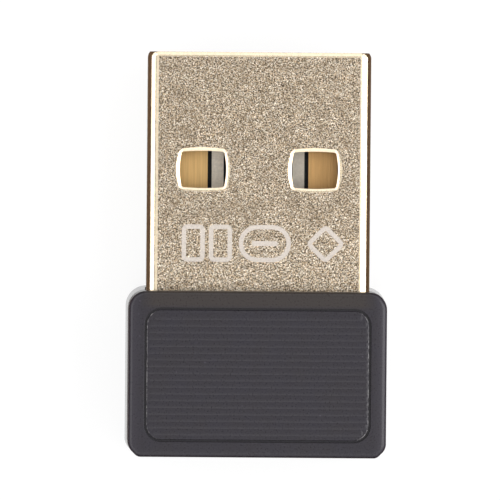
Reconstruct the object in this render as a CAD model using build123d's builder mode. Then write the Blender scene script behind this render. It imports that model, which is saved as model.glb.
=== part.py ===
"""USB radio adapter, nano size: a folded plug shell in a short two-part moulded housing.

Millimetres. +Y points to the plug's tip, +Z up out of the ridged face.
The origin is at the middle of the underside, which lies on Z = 0.
"""

import os
from math import sqrt

from build123d import *

os.makedirs("parts", exist_ok=True)

# Housing, two moulded covers that meet at mid height, as wide as the plug shell needs
cover_length = 8.95
housing_thickness = 7.0
cover_wall = 0.8
shell_side_clearance = 0.15
draft_angle = 1.0
rim_step = 0.15
plug_corner_radius = 0.75
tail_corner_cut = 0.5
tail_side_radius = 0.6
tail_end_radius = 0.38
cavity_corner_radius = 0.4

# Top edge, groove and ridges of the front cover
edge_radius = 0.25
border_width = 0.95
groove_width = 0.13
groove_depth = 0.16
groove_corner_radius = 0.87
ridge_count = 18
ridge_pitch = 0.363
ridge_height = 0.05

# Bevel round the underside of the rear cover
foot_edge_cut = 0.3

# Lip between the covers
lip_height = 0.5
lip_thickness = 0.3
lip_clearance = 0.05

# Plug shell, folded from one sheet
shell_width = 12.0
shell_height = 4.5
shell_sheet = 0.3
shell_bend_radius = 0.55
plug_exposed = 12.8
shell_embedded = 1.6
shell_clearance = 0.05
tip_radius = 0.2

# Windows of the plug shell, two on each broad face
window_width = 2.4
window_length = 2.0
window_spacing = 6.0
window_from_tip = 6.35
window_corner_radius = 0.2
window_rim_radius = 0.2
window_rim_cut = 0.16

# Clinched seam on the underside of the shell
seam_gap = 0.06
clinch_from_tip = 9.2
clinch_neck = 0.9
clinch_head = 1.5
clinch_reach = 1.1

# Solder tabs at the back of the shell
tab_length = 1.3
tab_drop = 0.3
tab_rise = 0.5
tab_corner_radius = 0.2

# Contact carrier, the moulded tongue in the shell
mouth_height = 1.95
carrier_clearance = 0.03
tongue_from_tip = 0.7
tongue_nose_cut = 0.35
block_from_tip = 9.3
power_contact_side_gap = 0.22
data_contact_side_gap = 0.36
channel_depth = 0.45
pedestal_inset = 0.1
slot_nose_gap = 0.25

# Contacts, stamped from strip
power_contact_spacing = 7.0
data_contact_spacing = 2.0
power_contact_width = 1.56
data_contact_width = 1.0
contact_strip = 0.25
contact_bend_radius = 0.35
contact_nose_depth = 0.75
power_contact_from_tip = 1.5
data_contact_from_tip = 2.5
contact_tail_length = 1.0

# Circuit board
board_thickness = 0.8
board_gap = 0.1
board_side_clearance = 0.1
board_corner_radius = 0.3
notch_clearance = 0.06

# Posts that hold the board between the covers
post_width = 0.9
post_length = 0.7

# Leadless chips: lands round the body, and the mark at pin one
land_pitch = 0.4
land_width = 0.2
land_length = 0.4
land_height = 0.05
chip_mark_radius = 0.15
chip_mark_depth = 0.05
chip_mark_inset = 0.45

# Leadless chips: width, length and height of the body, and count of lands along X and Y
radio_chip_size = (3.2, 3.2, 0.85)
radio_chip_land_count = (6, 6)
memory_chip_size = (3.0, 2.0, 0.55)
memory_chip_land_count = (4, 0)
surge_guard_size = (1.0, 1.0, 0.5)
surge_guard_land_count = (2, 0)

# Crystal
crystal_width = 2.0
crystal_length = 2.5
crystal_base_height = 0.35
crystal_lid_height = 0.2
crystal_lid_inset = 0.12
crystal_corner_radius = 0.25

# Voltage regulator with bent leads
regulator_width = 1.25
regulator_length = 2.0
regulator_height = 0.9
regulator_standoff = 0.05
lead_pitch = 0.65
lead_width = 0.25
lead_strip = 0.12
lead_reach = 0.45
lead_foot = 0.25

# End-capped parts: length, width and height of each size of body
small_body = (1.0, 0.5, 0.5)
medium_body = (1.6, 0.8, 0.8)
antenna_body = (3.2, 1.6, 0.5)
end_cap_share = 0.22
end_cap_growth = 0.02

# Gaps that lay out the board
chip_gap = 0.25
edge_gap = 0.1
post_gap = 0.3

# Seats and places worked out from the sizes above
overall_length = cover_length + rim_step + plug_exposed
tip_y = overall_length / 2
shoulder_y = tip_y - plug_exposed
tail_y = shoulder_y - cover_length
cover_mid_y = (shoulder_y + tail_y) / 2
seam_z = housing_thickness / 2
shell_back_y = shoulder_y - shell_embedded
shell_bottom_z = seam_z - shell_height / 2
inner_width = shell_width - 2 * shell_sheet
inner_height = shell_height - 2 * shell_sheet
inner_bend_radius = shell_bend_radius - shell_sheet
inner_top_z = seam_z + inner_height / 2
tongue_top_z = inner_top_z - mouth_height
contact_seat_z = tongue_top_z - contact_strip
tongue_tip_y = tip_y - tongue_from_tip
block_front_y = tip_y - block_from_tip
board_top_z = contact_seat_z
board_bottom_z = board_top_z - board_thickness
cavity_width = shell_width + 2 * shell_side_clearance
cover_width = cavity_width + 2 * cover_wall
cavity_length = cover_length - 2 * cover_wall
cavity_front_y = shoulder_y - cover_wall
cavity_back_y = tail_y + cover_wall
cavity_depth = seam_z - cover_wall
board_width = cavity_width - 2 * board_side_clearance
board_back_y = cavity_back_y + board_side_clearance
board_front_y = shell_back_y - board_gap
board_length = board_front_y - board_back_y
post_x = board_width / 2 - post_width / 2
post_y = board_back_y + post_length / 2
seam_plane = Plane.XY.offset(seam_z)


def housing_outline(grow=0):
    """Outline of the housing, round at the plug side and cut at the tail corners."""
    side_x = cover_width / 2 + grow
    front_y = shoulder_y + grow
    back_y = tail_y - grow
    corner_cut = tail_corner_cut + (2 - sqrt(2)) * grow
    with BuildSketch() as outline:
        with BuildLine():
            Polyline(
                (-side_x, front_y),
                (-side_x, back_y + corner_cut),
                (-side_x + corner_cut, back_y),
                (side_x - corner_cut, back_y),
                (side_x, back_y + corner_cut),
                (side_x, front_y),
                close=True,
            )
        make_face()
        fillet(outline.vertices().group_by(Axis.Y)[-1], plug_corner_radius + grow)
        fillet(outline.vertices().group_by(Axis.Y)[1], tail_side_radius + grow)
        fillet(outline.vertices().group_by(Axis.Y)[0], tail_end_radius + grow)
    return outline.sketch


def draw_cavity(grow=0, mode=Mode.ADD):
    """Outline of the hollow in the housing, drawn in the open sketch."""
    with Locations((0, cover_mid_y)):
        RectangleRounded(
            cavity_width + 2 * grow,
            cavity_length + 2 * grow,
            cavity_corner_radius + grow,
            mode=mode,
        )


def draw_posts():
    """Sections of the two posts at the board's back corners, drawn in the open sketch."""
    with Locations((-post_x, post_y), (post_x, post_y)):
        Rectangle(post_width, post_length)


def plug_opening():
    """Section of the opening that the plug shell passes through."""
    with BuildSketch(Plane.XZ.offset(cavity_corner_radius - cavity_front_y)) as opening:
        with Locations((0, seam_z)):
            RectangleRounded(
                shell_width + 2 * shell_clearance,
                shell_height + 2 * shell_clearance,
                shell_bend_radius + shell_clearance,
            )
    return opening.sketch


# Plug shell: tube of sheet, open at both ends
with BuildPart() as plug_shell:
    with BuildSketch(Plane.XZ.offset(-tip_y)):
        with Locations((0, seam_z)):
            RectangleRounded(shell_width, shell_height, shell_bend_radius)
            RectangleRounded(inner_width, inner_height, inner_bend_radius, mode=Mode.SUBTRACT)
    extrude(amount=tip_y - shell_back_y)
    # Rounded lead-in at the tip
    tip_face = plug_shell.faces().sort_by(Axis.Y)[-1]
    fillet(tip_face.outer_wire().edges(), tip_radius)
    # Two windows through each broad face, rolled rims on top and pressed ones on the underside
    with BuildSketch(Plane.XY.offset(shell_bottom_z)):
        with Locations((0, tip_y - window_from_tip)):
            with GridLocations(window_spacing, 1, 2, 1):
                RectangleRounded(window_width, window_length, window_corner_radius)
    extrude(amount=shell_height, mode=Mode.SUBTRACT)
    top_face = plug_shell.faces().filter_by(Axis.Z).sort_by(Axis.Z)[-1]
    fillet([rim for wire in top_face.inner_wires() for rim in wire.edges()], window_rim_radius)
    under_face = plug_shell.faces().filter_by(Axis.Z).sort_by(Axis.Z)[0]
    chamfer([rim for wire in under_face.inner_wires() for rim in wire.edges()], window_rim_cut)
    # Seam of the fold, straight but for one dovetail clinch
    with BuildSketch(Plane.XY.offset(shell_bottom_z)):
        clinch_y = tip_y - clinch_from_tip
        with BuildLine():
            Polyline(
                (0, tip_y + seam_gap),
                (0, clinch_y + clinch_neck / 2),
                (clinch_reach, clinch_y + clinch_head / 2),
                (clinch_reach, clinch_y - clinch_head / 2),
                (0, clinch_y - clinch_neck / 2),
                (0, shell_back_y - seam_gap),
            )
        trace(line_width=seam_gap)
    extrude(amount=shell_height / 2, mode=Mode.SUBTRACT)
    # Solder tabs that run on from the side walls
    for side in (-1, 1):
        with BuildSketch(Plane.YZ.offset(side * inner_width / 2)) as tab:
            with Locations((shell_back_y, board_bottom_z - tab_drop)):
                Rectangle(
                    2 * tab_length,
                    tab_drop + board_thickness + tab_rise,
                    align=(Align.CENTER, Align.MIN),
                )
            fillet(tab.vertices().group_by(Axis.Y)[0], tab_corner_radius)
        extrude(amount=side * shell_sheet)
plug_shell.part.label = "plug_shell"


# Contacts: name and place across the plug, width, gap beside it, distance of the nose from the tip
power_contact = (power_contact_width, power_contact_side_gap, power_contact_from_tip)
data_contact = (data_contact_width, data_contact_side_gap, data_contact_from_tip)
contacts = (
    ("vbus_contact", -power_contact_spacing / 2, *power_contact),
    ("data_minus_contact", -data_contact_spacing / 2, *data_contact),
    ("data_plus_contact", data_contact_spacing / 2, *data_contact),
    ("ground_contact", power_contact_spacing / 2, *power_contact),
)


# Contact carrier: block that closes the shell, with a tongue and its slots
with BuildPart() as contact_carrier:
    with BuildSketch(Plane.XZ.offset(-tongue_tip_y)):
        with Locations((0, seam_z)):
            RectangleRounded(
                inner_width - 2 * carrier_clearance,
                inner_height - 2 * carrier_clearance,
                inner_bend_radius,
            )
    extrude(amount=tongue_tip_y - shell_back_y)
    # Mouth above the tongue
    with BuildSketch(Plane.XY.offset(tongue_top_z)):
        with Locations((0, block_front_y)):
            Rectangle(inner_width, 2 * block_from_tip, align=(Align.CENTER, Align.MIN))
    extrude(amount=mouth_height, mode=Mode.SUBTRACT)
    nose_face = contact_carrier.faces().filter_by(Axis.Y).sort_by(Axis.Y)[-1]
    chamfer(nose_face.edges().sort_by(Axis.Z)[-1], tongue_nose_cut)
    for name, place_x, width, side_gap, from_tip in contacts:
        slot_front_y = tip_y - from_tip + slot_nose_gap
        slot_length = slot_front_y - block_front_y
        slot_middle = (place_x, (slot_front_y + block_front_y) / 2)
        slot_width = width + 2 * side_gap
        pocket_length = slot_nose_gap + contact_strip + contact_bend_radius
        # Seat of the strip, close fitting where it passes through the block
        with BuildSketch(Plane.XY.offset(tongue_top_z)):
            with Locations(slot_middle):
                Rectangle(slot_width, slot_length)
            with Locations((place_x, block_front_y)):
                Rectangle(width + 2 * carrier_clearance, 2 * (block_front_y - shell_back_y))
        extrude(amount=-contact_strip, mode=Mode.SUBTRACT)
        # Channels beside the pedestal that carries the strip
        with BuildSketch(Plane.XY.offset(contact_seat_z)):
            with Locations(slot_middle):
                Rectangle(slot_width, slot_length)
                Rectangle(width - 2 * pedestal_inset, slot_length, mode=Mode.SUBTRACT)
        extrude(amount=-channel_depth, mode=Mode.SUBTRACT)
        # Pocket for the turned-down nose
        with BuildSketch(Plane.XY.offset(contact_seat_z)):
            with Locations((place_x, slot_front_y)):
                Rectangle(slot_width, pocket_length, align=(Align.CENTER, Align.MAX))
        extrude(amount=-contact_nose_depth - carrier_clearance, mode=Mode.SUBTRACT)
contact_carrier.part.label = "contact_carrier"


def contact_blade(place_x, width, from_tip):
    """Strip that lies in its slot, turned down at the nose, with a flat tail on the board."""
    nose_middle_y = tip_y - from_tip - contact_strip / 2
    strip_middle_z = contact_seat_z + contact_strip / 2
    with BuildPart() as blade:
        with BuildSketch(Plane.YZ.offset(place_x)):
            with BuildLine():
                FilletPolyline(
                    (shell_back_y - contact_tail_length, strip_middle_z),
                    (nose_middle_y, strip_middle_z),
                    (nose_middle_y, contact_seat_z - contact_nose_depth),
                    radius=contact_bend_radius - contact_strip / 2,
                )
            trace(line_width=contact_strip)
        extrude(amount=width / 2, both=True)
    return blade.part


# Circuit board, notched at the front corners for the shell's tabs
with BuildPart() as circuit_board:
    with BuildSketch(Plane.XY.offset(board_bottom_z)):
        with Locations((0, (board_front_y + board_back_y) / 2)):
            RectangleRounded(board_width, board_length, board_corner_radius)
        notch_width = (board_width - inner_width) / 2 + notch_clearance
        notch_length = tab_length - board_gap + notch_clearance
        with Locations((0, board_front_y - notch_length / 2)):
            with GridLocations(board_width - notch_width, 1, 2, 1):
                Rectangle(notch_width, notch_length, mode=Mode.SUBTRACT)
    extrude(amount=board_thickness)
circuit_board.part.label = "circuit_board"


def board_seat(on_top):
    """Height of the board's face, and the direction away from it."""
    return (board_top_z, 1) if on_top else (board_bottom_z, -1)


def end_capped(place, body, across=False, on_top=True):
    """Small ceramic body with a metal cap on each end, flat on the board."""
    seat_z, outward = board_seat(on_top)
    length, width, height = body
    cap_length = length * end_cap_share
    cap_x = (length - cap_length) / 2
    turn = 0 if across else 90
    middle = Location((*place, seat_z + outward * height / 2), (0, 0, turn))
    with BuildPart() as piece:
        with Locations(middle):
            Box(length - end_cap_growth, width - 2 * end_cap_growth, height - 2 * end_cap_growth)
            with Locations((-cap_x, 0, 0), (cap_x, 0, 0)):
                Box(cap_length, width, height)
    return piece.part


def leadless_chip(place, size, land_count, on_top=True):
    """Chip that stands on lands along its edges; the square one has a heat pad and a mark."""
    seat_z, outward = board_seat(on_top)
    width, length, height = size
    along_x, along_y = land_count
    mark = (place[0] - width / 2 + chip_mark_inset, place[1] + length / 2 - chip_mark_inset)
    with BuildPart() as piece:
        with BuildSketch(Plane.XY.offset(seat_z + outward * land_height)):
            with Locations(place):
                Rectangle(width, length)
        extrude(amount=outward * (height - land_height))
        with BuildSketch(Plane.XY.offset(seat_z)):
            with Locations(place):
                with GridLocations(land_pitch, length - land_length, along_x, 2):
                    Rectangle(land_width, land_length)
                if along_y:
                    with GridLocations(width - land_length, land_pitch, 2, along_y):
                        Rectangle(land_length, land_width)
                    Rectangle(width - 4 * land_length, length - 4 * land_length)
        extrude(amount=outward * land_height)
        if along_y:
            with BuildSketch(Plane.XY.offset(seat_z + outward * height)):
                with Locations(mark):
                    Circle(chip_mark_radius)
            extrude(amount=-outward * chip_mark_depth, mode=Mode.SUBTRACT)
    return piece.part


def bent_lead_chip(place):
    """Small moulded body with three bent leads on one side and two on the other."""
    x, y = place
    lead_top_z = board_top_z + regulator_standoff + regulator_height / 2
    foot_z = board_top_z + lead_strip / 2
    toe_x = regulator_width / 2 + lead_reach
    knee_x = toe_x - lead_foot
    with BuildPart() as piece:
        with BuildSketch(Plane.XY.offset(board_top_z + regulator_standoff)):
            with Locations(place):
                Rectangle(regulator_width, regulator_length)
        extrude(amount=regulator_height)
        chamfer(piece.faces().sort_by(Axis.Z)[-1].edges(), lead_strip)
        for side, offsets in ((-1, (-lead_pitch, 0, lead_pitch)), (1, (-lead_pitch, lead_pitch))):
            for lead_offset in offsets:
                with BuildSketch(Plane.XZ.offset(-y - lead_offset)):
                    with BuildLine():
                        Polyline(
                            (x, lead_top_z),
                            (x + side * knee_x, lead_top_z),
                            (x + side * knee_x, foot_z),
                            (x + side * toe_x, foot_z),
                        )
                    trace(line_width=lead_strip)
                extrude(amount=lead_width / 2, both=True)
    return piece.part


def crystal_can(place, on_top=True):
    """Ceramic tray with a welded metal lid."""
    seat_z, outward = board_seat(on_top)
    with BuildPart() as piece:
        with BuildSketch(Plane.XY.offset(seat_z)):
            with Locations(place):
                RectangleRounded(crystal_width, crystal_length, crystal_corner_radius)
        extrude(amount=outward * crystal_base_height)
        with BuildSketch(Plane.XY.offset(seat_z + outward * crystal_base_height)):
            with Locations(place):
                Rectangle(
                    crystal_width - 2 * crystal_lid_inset,
                    crystal_length - 2 * crystal_lid_inset,
                )
        extrude(amount=outward * crystal_lid_height)
    return piece.part


# Top of the board, behind the contact tails: supply parts on each side of the surge guard
supply_row_y = shell_back_y - contact_tail_length - chip_gap - surge_guard_size[1] / 2
supply_pitch = medium_body[0] + chip_gap
supply_inner_x = (surge_guard_size[0] + supply_pitch + chip_gap) / 2
supply_outer_x = supply_inner_x + supply_pitch

# Top of the board, along the tail edge: regulator at one post, antenna at the other
tail_row_edge_y = board_back_y + edge_gap
row_end_x = post_x - post_width / 2 - post_gap
regulator_place = (
    -row_end_x + lead_reach + regulator_width / 2,
    tail_row_edge_y + regulator_length / 2,
)
antenna_place = (row_end_x - antenna_body[0] / 2, tail_row_edge_y + antenna_body[1] / 2)
inductor_x = row_end_x - antenna_body[0] - chip_gap - small_body[1] / 2
antenna_capacitor_x = inductor_x - chip_gap - small_body[1]
matching_y = tail_row_edge_y + small_body[0] / 2

# Underside of the board: a row of chips with the crystal in the middle, small parts behind it
chip_row_y = board_front_y - chip_gap - radio_chip_size[1] / 2
radio_chip_x = -crystal_width / 2 - chip_gap - radio_chip_size[0] / 2
memory_chip_x = crystal_width / 2 + chip_gap + memory_chip_size[0] / 2
small_row_y = chip_row_y - radio_chip_size[1] / 2 - chip_gap - small_body[1] / 2
pair_x = (small_body[0] + chip_gap) / 2

board_pieces = {
    "voltage_regulator": bent_lead_chip(regulator_place),
    "chip_antenna": end_capped(antenna_place, antenna_body, across=True),
    "antenna_inductor": end_capped((inductor_x, matching_y), small_body),
    "antenna_capacitor": end_capped((antenna_capacitor_x, matching_y), small_body),
    "surge_guard": leadless_chip((0, supply_row_y), surge_guard_size, surge_guard_land_count),
    "crystal": crystal_can((0, chip_row_y), on_top=False),
    "radio_chip": leadless_chip(
        (radio_chip_x, chip_row_y), radio_chip_size, radio_chip_land_count, on_top=False
    ),
    "memory_chip": leadless_chip(
        (memory_chip_x, chip_row_y), memory_chip_size, memory_chip_land_count, on_top=False
    ),
}
for name, place_x in (
    ("supply_capacitor_1", -supply_outer_x),
    ("supply_capacitor_2", -supply_inner_x),
    ("supply_bead", supply_inner_x),
    ("supply_capacitor_3", supply_outer_x),
):
    board_pieces[name] = end_capped((place_x, supply_row_y), medium_body, across=True)
for name, place_x in (
    ("bias_resistor", radio_chip_x - pair_x),
    ("reset_resistor", radio_chip_x + pair_x),
    ("crystal_capacitor_left", -pair_x),
    ("crystal_capacitor_right", pair_x),
    ("supply_capacitor_4", memory_chip_x),
):
    board_pieces[name] = end_capped(
        (place_x, small_row_y), small_body, across=True, on_top=False
    )


# Air over the ridged panel: what is cut away between the crests
panel_width = cover_width - 2 * border_width - groove_width
panel_length = cover_length - 2 * border_width - groove_width
panel_corner_radius = groove_corner_radius - groove_width / 2
with BuildPart() as ridge_air:
    with BuildSketch(Plane.YZ):
        with BuildLine():
            field_start_y = cover_mid_y - ridge_count * ridge_pitch / 2
            field_end_y = field_start_y + ridge_count * ridge_pitch
            valley_z = housing_thickness - ridge_height
            for ridge in range(ridge_count):
                valley_y = field_start_y + ridge * ridge_pitch
                ThreePointArc(
                    (valley_y, valley_z),
                    (valley_y + ridge_pitch / 2, housing_thickness),
                    (valley_y + ridge_pitch, valley_z),
                )
            Polyline(
                (field_end_y, valley_z),
                (field_end_y, housing_thickness + ridge_height),
                (field_start_y, housing_thickness + ridge_height),
                (field_start_y, valley_z),
            )
        make_face()
    extrude(amount=panel_width, both=True)
    with BuildSketch(Plane.XY.offset(valley_z)):
        with Locations((0, cover_mid_y)):
            RectangleRounded(panel_width, panel_length, panel_corner_radius)
    extrude(amount=2 * ridge_height, mode=Mode.INTERSECT)


# Front cover: shallow tray with a grooved border round a ridged panel
with BuildPart() as front_cover:
    with BuildSketch(seam_plane):
        add(housing_outline())
    extrude(amount=seam_z, taper=draft_angle)
    fillet(front_cover.faces().sort_by(Axis.Z)[-1].edges(), edge_radius)
    # Groove between the border and the panel
    with BuildSketch(Plane.XY.offset(housing_thickness)):
        with Locations((0, cover_mid_y)):
            RectangleRounded(
                panel_width + 2 * groove_width,
                panel_length + 2 * groove_width,
                panel_corner_radius + groove_width,
            )
            RectangleRounded(panel_width, panel_length, panel_corner_radius, mode=Mode.SUBTRACT)
    extrude(amount=-groove_depth, mode=Mode.SUBTRACT)
    add(ridge_air.part, mode=Mode.SUBTRACT)
    # Hollow, with posts that hold the board down
    with BuildSketch(seam_plane):
        draw_cavity()
    extrude(amount=cavity_depth, mode=Mode.SUBTRACT)
    with BuildSketch(Plane.XY.offset(board_top_z)):
        draw_posts()
    extrude(amount=seam_z + cavity_depth - board_top_z)
    # Step that takes the rear cover's lip
    with BuildSketch(seam_plane):
        draw_cavity(lip_thickness + lip_clearance)
        draw_cavity(mode=Mode.SUBTRACT)
    extrude(amount=lip_height + lip_clearance, mode=Mode.SUBTRACT)
    extrude(plug_opening(), amount=-2 * cover_wall, mode=Mode.SUBTRACT)
front_cover.part.label = "front_cover"


# Rear cover: plain tray whose rim stands a little proud of the front cover
with BuildPart() as rear_cover:
    with BuildSketch(seam_plane):
        add(housing_outline(rim_step))
    extrude(amount=-seam_z, taper=draft_angle)
    chamfer(rear_cover.faces().sort_by(Axis.Z)[0].edges(), foot_edge_cut)
    # Hollow, with posts that the board stands on
    with BuildSketch(seam_plane):
        draw_cavity()
    extrude(amount=-cavity_depth, mode=Mode.SUBTRACT)
    with BuildSketch(Plane.XY.offset(cover_wall)):
        draw_posts()
    extrude(amount=board_bottom_z - cover_wall)
    # Lip that stands up into the front cover
    with BuildSketch(seam_plane):
        draw_cavity(lip_thickness)
        draw_cavity(mode=Mode.SUBTRACT)
    extrude(amount=lip_height)
    extrude(plug_opening(), amount=-2 * cover_wall, mode=Mode.SUBTRACT)
rear_cover.part.label = "rear_cover"


# One file for each piece
export_step(plug_shell.part, "parts/plug_shell.step")
export_step(contact_carrier.part, "parts/contact_carrier.step")
export_step(circuit_board.part, "parts/circuit_board.step")
export_step(front_cover.part, "parts/front_cover.step")
export_step(rear_cover.part, "parts/rear_cover.step")
for name, place_x, width, side_gap, from_tip in contacts:
    blade = contact_blade(place_x, width, from_tip)
    blade.label = name
    export_step(blade, f"parts/{name}.step")
for name, piece in board_pieces.items():
    piece.label = name
    export_step(piece, f"parts/{name}.step")
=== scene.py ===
"""Looks of a nano size radio adapter: plug shell, two moulded covers and what they hold.

Laid out as an add-on and run as a script. Pieces are shaped in millimetres and
brought to metres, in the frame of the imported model, once they are done.
"""

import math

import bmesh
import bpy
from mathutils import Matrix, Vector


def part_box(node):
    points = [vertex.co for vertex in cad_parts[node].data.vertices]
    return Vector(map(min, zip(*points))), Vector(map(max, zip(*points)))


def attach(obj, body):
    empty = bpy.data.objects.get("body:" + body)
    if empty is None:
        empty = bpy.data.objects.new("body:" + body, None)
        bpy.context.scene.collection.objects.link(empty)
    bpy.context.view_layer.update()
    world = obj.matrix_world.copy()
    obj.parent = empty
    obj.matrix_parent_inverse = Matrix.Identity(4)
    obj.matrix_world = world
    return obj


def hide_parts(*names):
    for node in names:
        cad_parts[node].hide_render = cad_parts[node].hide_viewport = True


bl_info = {
    "name": "Nano Radio Adapter",
    "version": (1, 0, 0),
    "blender": (4, 5, 0),
    "location": "3D View > Sidebar > Adapter",
    "description": "Models and finishes a small plug-in radio adapter",
    "category": "Object",
}

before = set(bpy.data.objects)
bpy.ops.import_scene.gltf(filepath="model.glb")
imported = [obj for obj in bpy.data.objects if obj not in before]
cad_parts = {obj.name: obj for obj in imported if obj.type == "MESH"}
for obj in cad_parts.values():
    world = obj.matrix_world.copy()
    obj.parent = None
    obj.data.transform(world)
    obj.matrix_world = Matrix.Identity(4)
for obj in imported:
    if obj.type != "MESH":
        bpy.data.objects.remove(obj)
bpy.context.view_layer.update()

MM = 0.001
TINY = 0.002  # millimetres; places nearer to each other than this count as one
FAR = 5.0  # millimetres that a cutter reaches past what it cuts
FLAT = 0.999  # part of a normal, or share of a half size, that counts as all of it
SMOOTH_ANGLE = math.radians(35)
LAMP_DISTANCE = 0.28  # metres from the origin
POWER_FOR_RADIANCE = 4  # a rectangular lamp's watts for one square metre at radiance one
FLOOR_SIZE = 4.0  # metres
FLOOR_GAP = 0.02  # millimetres between the underside and the floor


def length(name, description, default):
    """Property for a length, given here in millimetres and kept in metres."""
    return bpy.props.FloatProperty(
        name=name, description=description, default=default * MM, unit="LENGTH", precision=5
    )


def colour(name, description, default):
    """Property for a linear colour."""
    return bpy.props.FloatVectorProperty(
        name=name, description=description, default=default, subtype="COLOR", size=3, min=0, max=1
    )


def angle(name, description, default):
    """Property for an angle, given here in degrees and kept in radians."""
    return bpy.props.FloatProperty(
        name=name, description=description, default=math.radians(default), unit="ROTATION"
    )


def number(name, description, default):
    """Property for a plain number."""
    return bpy.props.FloatProperty(name=name, description=description, default=default, min=0)


class AdapterShellSettings(bpy.types.PropertyGroup):
    """Sizes and colours of the folded plug shell."""

    sheet: length("Sheet", "Thickness of the folded sheet", 0.3)
    bend: length("Bend", "Outer radius of the four folds", 0.6)
    tip: length("Tip", "Length of the drawn-in tip", 0.25)
    window_width: length("Window width", "Opening across the plug, at its corners", 2.33)
    window_length: length("Window length", "Opening along the plug, at its corners", 1.92)
    window_spacing: length("Window spacing", "Distance between the window middles", 6.0)
    window_from_tip: length("Window place", "From the tip to the window middles", 6.3)
    window_corner: length("Window corner", "Corner radius of the openings", 0.16)
    rim: length("Rim", "Width of the rolled window rims", 0.165)
    rim_swell: length("Rim swell", "How far a rim widens at the middle of a side", 0.135)
    window_bow: length("Window bow", "How far the sides of an opening bow out", 0.085)
    roll_start: angle("Roll start", "Slope where a rim or the tip begins", 10.0)
    roll_end: angle("Roll end", "Slope where a rim or the tip ends", 39.0)
    seam: length("Seam", "Gap of the seam on the underside", 0.06)
    clinch_from_tip: length("Clinch place", "From the tip to the clinch", 9.2)
    clinch_neck: length("Clinch neck", "Narrow side of the clinch", 0.9)
    clinch_head: length("Clinch head", "Wide side of the clinch", 1.5)
    clinch_reach: length("Clinch reach", "Length of the clinch", 1.1)
    tab_length: length("Tab length", "Length of the solder tabs", 1.3)
    tab_low: length("Tab underside", "Underside of the tabs over the floor", 2.15)
    tab_high: length("Tab top", "Top of the tabs over the floor", 3.75)
    metal: colour("Metal", "Blasted face of the shell", (0.332, 0.252, 0.167))
    polish: colour("Polish", "Folds, tip and rims of the shell", (0.90, 0.76, 0.56))
    grain: length("Grain", "Size of the blasted grain", 0.063)


class AdapterCoverSettings(bpy.types.PropertyGroup):
    """Sizes and colours of the two moulded covers."""

    wall: length("Wall", "Wall of the covers", 0.8)
    plug_corner: length("Plug corner", "Corner radius beside the plug", 0.95)
    tail_cut: length("Tail cut", "Cut across the corners of the tail", 0.5)
    tail_side: length("Tail side", "Radius where the cut meets the side", 0.6)
    tail_end: length("Tail end", "Radius where the cut meets the end", 0.38)
    rim_step: length("Rim step", "How far the rear cover stands proud", 0.15)
    seam_step: length("Seam step", "How far it stands proud at the seam", 0.01)
    draft: length("Draft", "How far the front cover's wall leans in", 0.06)
    crown: length("Crown", "How far the border falls towards its edge", 0.045)
    edge: length("Edge", "Radius of the edge round the front", 0.25)
    foot_edge: length("Foot edge", "Radius of the edge round the underside", 0.28)
    seam_edge: length("Seam edge", "Radius of the two edges at the seam", 0.02)
    border: length("Border", "Width of the plain border", 0.95)
    groove: length("Groove", "Width of the groove", 0.12)
    groove_depth: length("Groove depth", "Depth of the groove", 0.2)
    groove_corner: length("Groove corner", "Corner radius of the groove's middle", 0.87)
    groove_edge: length("Groove edge", "Radius of the groove's outer edge", 0.025)
    panel_edge: length("Panel edge", "Radius of the edge round the panel", 0.07)
    ridge_pitch: length("Ridge pitch", "Distance between ridges", 0.363)
    ridge_height: length("Ridge height", "Height of the ridges", 0.021)
    ridge_count: bpy.props.IntProperty(
        name="Ridges", description="Number of ridges", default=18, min=1
    )
    ridge_drop: length("Ridge drop", "How far the ridges lie towards the tail", -0.03)
    ridge_margin: length("Ridge margin", "From a ridge's end to the panel's edge", 0.04)
    cavity_corner: length("Cavity corner", "Corner radius of the hollow", 0.4)
    lip: length("Lip", "Thickness of the lip between the covers", 0.3)
    lip_height: length("Lip height", "Height of the lip", 0.5)
    clearance: length("Clearance", "Gap round the lip and the plug", 0.05)
    post_width: length("Post width", "Width of the board posts", 0.9)
    post_length: length("Post length", "Length of the board posts", 0.7)
    plastic: colour("Plastic", "Dark moulded plastic", (0.0138, 0.0120, 0.0162))
    # Warm tone of the painted reflection of the plug on the border behind it.
    beside_plug: colour("Beside the plug", "Painted reflection of the plug on the plastic", (0.0235, 0.0185, 0.0172))


class AdapterMarkSettings(bpy.types.PropertyGroup):
    """Plain etched shapes on the shell."""

    height: length("Height", "Height of the shapes", 2.0)
    stroke: length("Stroke", "Width of the etched line", 0.24)
    relief: length("Relief", "How far the line stands proud", 0.004)
    from_tip: length("Place", "From the tip to the middle of the shapes", 10.25)
    etched: colour("Etched", "Pale etched line", (0.48, 0.43, 0.385))


class AdapterStageSettings(bpy.types.PropertyGroup):
    """Floor, lamps and camera."""

    floor: colour("Floor", "Pale floor", (0.92, 0.92, 0.92))
    shadow_share: number("Shadow share", "How much of the lamps' shadow the floor shows", 0.15)
    overhead: number("Overhead", "Radiance of the lamp overhead", 0.6)
    side: number("Side", "Radiance of the two side lamps", 1.65)
    ends: number("Ends", "Radiance of the lamps before and behind", 0.88)
    corner: number("Corner", "Radiance of the four lamps between those", 1.2)
    lopsided: number("Lopsided", "How much stronger the right lamp is", 1.6)
    world: number("World", "Strength of the surroundings", 0.2)
    distance: length("Distance", "Camera distance", 296.5)
    target_x: length("Aim across", "Point that the camera looks at, across", -0.47)
    target_y: length("Aim along", "Point that the camera looks at, along", 0.37)
    lean_x: angle("Lean across", "How far the camera stands to the left", 1.2)
    lean_y: angle("Lean along", "How far the camera stands to the tip's side", 0.9)
    roll: angle("Roll", "How far the picture is turned", 0.48)


def start():
    """Object mode with nothing selected."""
    if bpy.context.object and bpy.context.object.mode != "OBJECT":
        bpy.ops.object.mode_set(mode="OBJECT")
    bpy.ops.object.select_all(action="DESELECT")


def choose(piece):
    """Makes one object the only one selected."""
    start()
    piece.select_set(True)
    bpy.context.view_layer.objects.active = piece


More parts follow.
